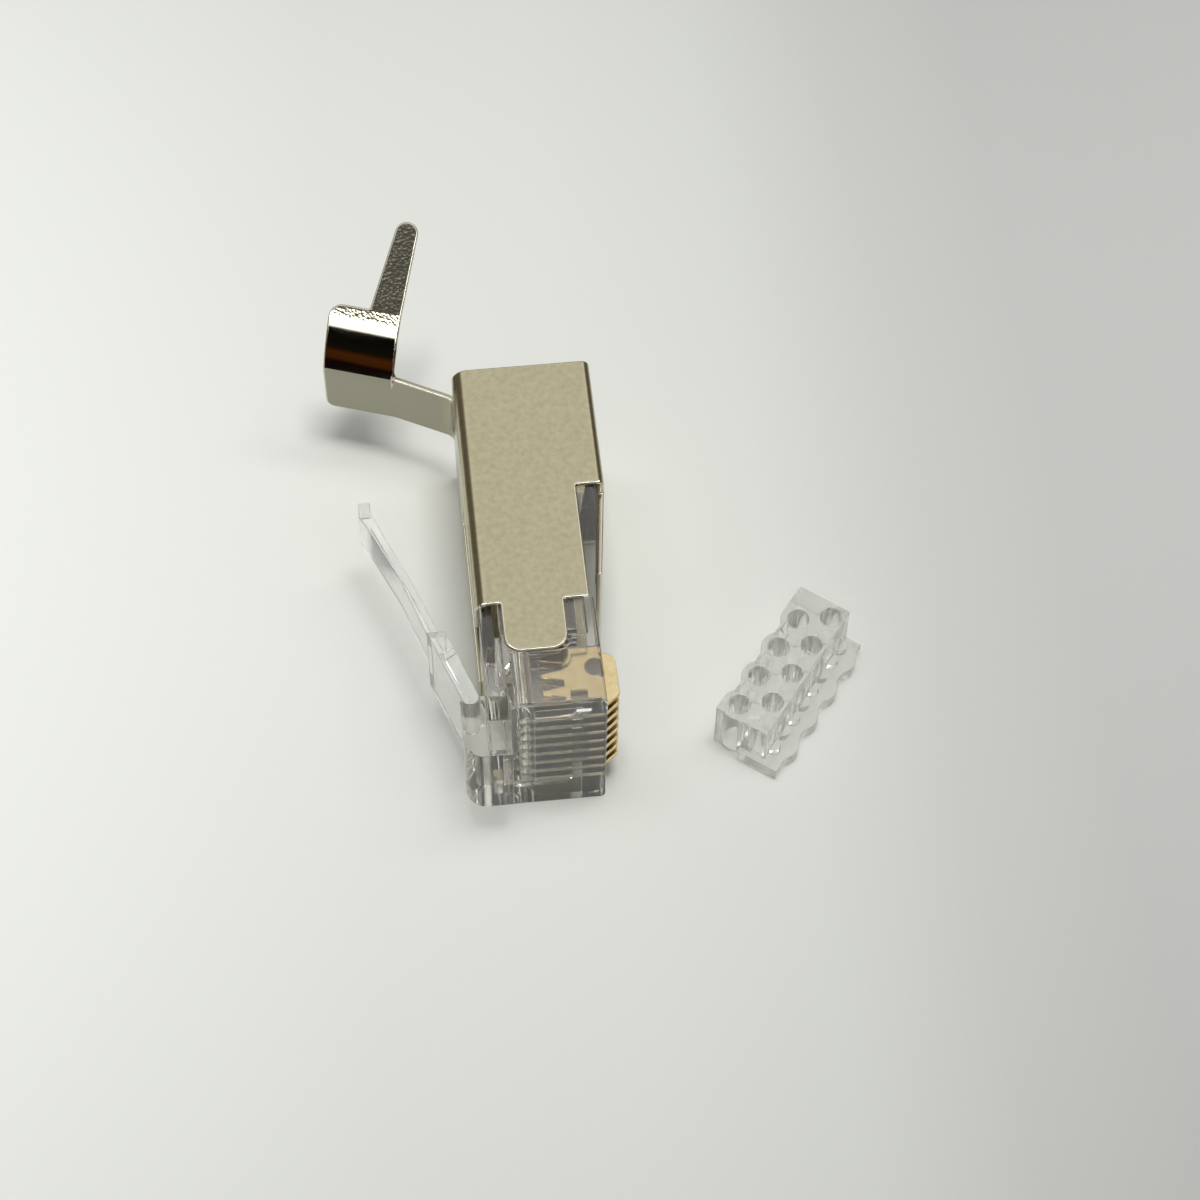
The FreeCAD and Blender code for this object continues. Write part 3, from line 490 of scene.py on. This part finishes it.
first_low, first_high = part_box("contact_1")
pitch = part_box("contact_2")[0].z - first_low.z
corner = (first_high.x - stand_out + corner_start, first_low.y, 0)
blade = copy_of("contact_1", "gold_contact_1", gold)
bpy.ops.object.mode_set(mode="EDIT")
bpy.ops.mesh.select_all(action="SELECT")
bpy.ops.mesh.bisect(plane_co=corner, plane_no=corner_facing, threshold=1e-8,
                    use_fill=True, clear_outer=True)
bpy.ops.object.mode_set(mode="OBJECT")
ease_edges(blade, width=0.00005)
for way in range(1, ways + 1):
    if way > 1:
        blade = bpy.data.objects.new(f"gold_contact_{way}", blade.data.copy())
        bpy.context.collection.objects.link(blade)
        blade.data.transform(Matrix.Translation((0, 0, pitch)))
    mount(blade, "contacts", f"contact_{way}")


# ---- the shield
# One blank of brass sheet, plated with warm nickel, folded round the housing and hooked over its rails.
# The flats are satin, the crimp tail is polished bright, and its tongue carries the hammered face of its
# die. The crimp tail's colour is painted darker, as painted shade in what it mirrors.

nickel, nodes, links, shader = start_material("warm_nickel", 0.3, 1.0)
place = nodes.new("ShaderNodeTexCoord")
split = nodes.new("ShaderNodeSeparateXYZ")
links.new(place.outputs["Object"], split.inputs[0])
tail = scaled_range(nodes, links, split.outputs["Y"], 0.0240, 0.0250)
high = scaled_range(nodes, links, split.outputs["Z"], 0.0046, 0.0051)
hammered = nodes.new("ShaderNodeMath")
hammered.operation = "MULTIPLY"
links.new(tail, hammered.inputs[0])
links.new(high, hammered.inputs[1])

grain = lay_mottle(nodes, links, 2600, 0.0, 1.0, detail=4.0)
plate_color = color_ramp(nodes, links, grain.outputs["Shade"], [
    (0.0, (0.385, 0.352, 0.238)), (0.5, (0.430, 0.393, 0.268)), (1.0, (0.470, 0.430, 0.298))])
# Painted shade: the crimp tail's plating is painted darker, standing in for the shaded floor that its
# polished faces mirror.
tail_painted_shade = nodes.new("ShaderNodeMix")
tail_painted_shade.data_type = "RGBA"
tail_painted_shade.inputs["B"].default_value = (0.315, 0.300, 0.238, 1)
links.new(tail, tail_painted_shade.inputs["Factor"])
links.new(plate_color, tail_painted_shade.inputs["A"])
links.new(tail_painted_shade.outputs["Result"], shader.inputs["Base Color"])


def blend_values(nodes, links, mask, first, second):
    """Goes from the first value to the second as the mask rises; either may be a socket."""
    mix = nodes.new("ShaderNodeMix")
    links.new(mask, mix.inputs["Factor"])
    for name, value in (("A", first), ("B", second)):
        if isinstance(value, float):
            mix.inputs[name].default_value = value
        else:
            links.new(value, mix.inputs[name])
    return mix.outputs["Result"]


satin = lay_mottle(nodes, links, 1500, 0.28, 0.33)
bright = lay_mottle(nodes, links, 700, 0.04, 0.08)
latch_bend = scaled_range(nodes, links, split.outputs["X"], -0.0034, -0.0036)
contact_bend = scaled_range(nodes, links, split.outputs["X"], 0.0037, 0.0038)
bends = nodes.new("ShaderNodeMath")
bends.operation = "MAXIMUM"
links.new(latch_bend, bends.inputs[0])
links.new(contact_bend, bends.inputs[1])
polish = blend_values(nodes, links, bends.outputs[0], satin.outputs["Shade"], 0.2)
polish = blend_values(nodes, links, tail, polish, bright.outputs["Shade"])
polish = blend_values(nodes, links, hammered.outputs[0], polish, 0.16)
links.new(polish, shader.inputs["Roughness"])
pits = nodes.new("ShaderNodeTexVoronoi")
pits.inputs["Scale"].default_value = 5200
links.new(place.outputs["Object"], pits.inputs["Vector"])
rough_face = blend_values(nodes, links, hammered.outputs[0], 0.5, pits.outputs["Distance"])
links.new(raised(nodes, links, rough_face, 0.000024), shader.inputs["Normal"])

sheared, nodes, links, shader = start_material("sheared_edge", 0.3, 1.0)
drag = lay_mottle(nodes, links, 3200, 0, 1)
edge_color = color_ramp(nodes, links, drag.outputs["Shade"], [
    (0.0, (0.56, 0.53, 0.44)), (1.0, (0.66, 0.63, 0.54))])
links.new(edge_color, shader.inputs["Base Color"])
polish = lay_mottle(nodes, links, 2400, 0.18, 0.26)
links.new(polish.outputs["Shade"], shader.inputs["Roughness"])

foot_corner = 0.0006
end_reach = 0.0002
level_within = 0.00001
shield = copy_of("shield", "nickel_shield", nickel, sheared)
tail_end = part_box("shield")[0].x
bpy.ops.object.mode_set(mode="EDIT")
bpy.ops.mesh.select_all(action="DESELECT")
bpy.ops.object.mode_set(mode="OBJECT")
for edge in shield.data.edges:
    ends = [shield.data.vertices[index].co for index in edge.vertices]
    edge.select = (all(end.x < tail_end + end_reach for end in ends)
                   and abs(ends[0].z - ends[1].z) < level_within and ends[0].z < 0)
bpy.ops.object.mode_set(mode="EDIT")
bpy.ops.mesh.bevel(offset=foot_corner, segments=6)
bpy.ops.object.mode_set(mode="OBJECT")
ease_edges(shield, width=0.00013, segments=4, rim=1, stray=1.0)
mount(shield, "plug", "shield")


# ---- the load bar
# A loose clear moulding with two staggered rows of wire holes, slid onto the wires before the housing.

frosty = clear_plastic("clear_thick_block", tint=(0.91, 0.915, 0.885), ripple=0.000005,
                       clearness=0.85, passing=0.6)
bar = copy_of("load_bar", "clear_load_bar", frosty)
ease_edges(bar, width=0.00008)
mount(bar, "plug", "load_bar")

low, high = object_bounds()
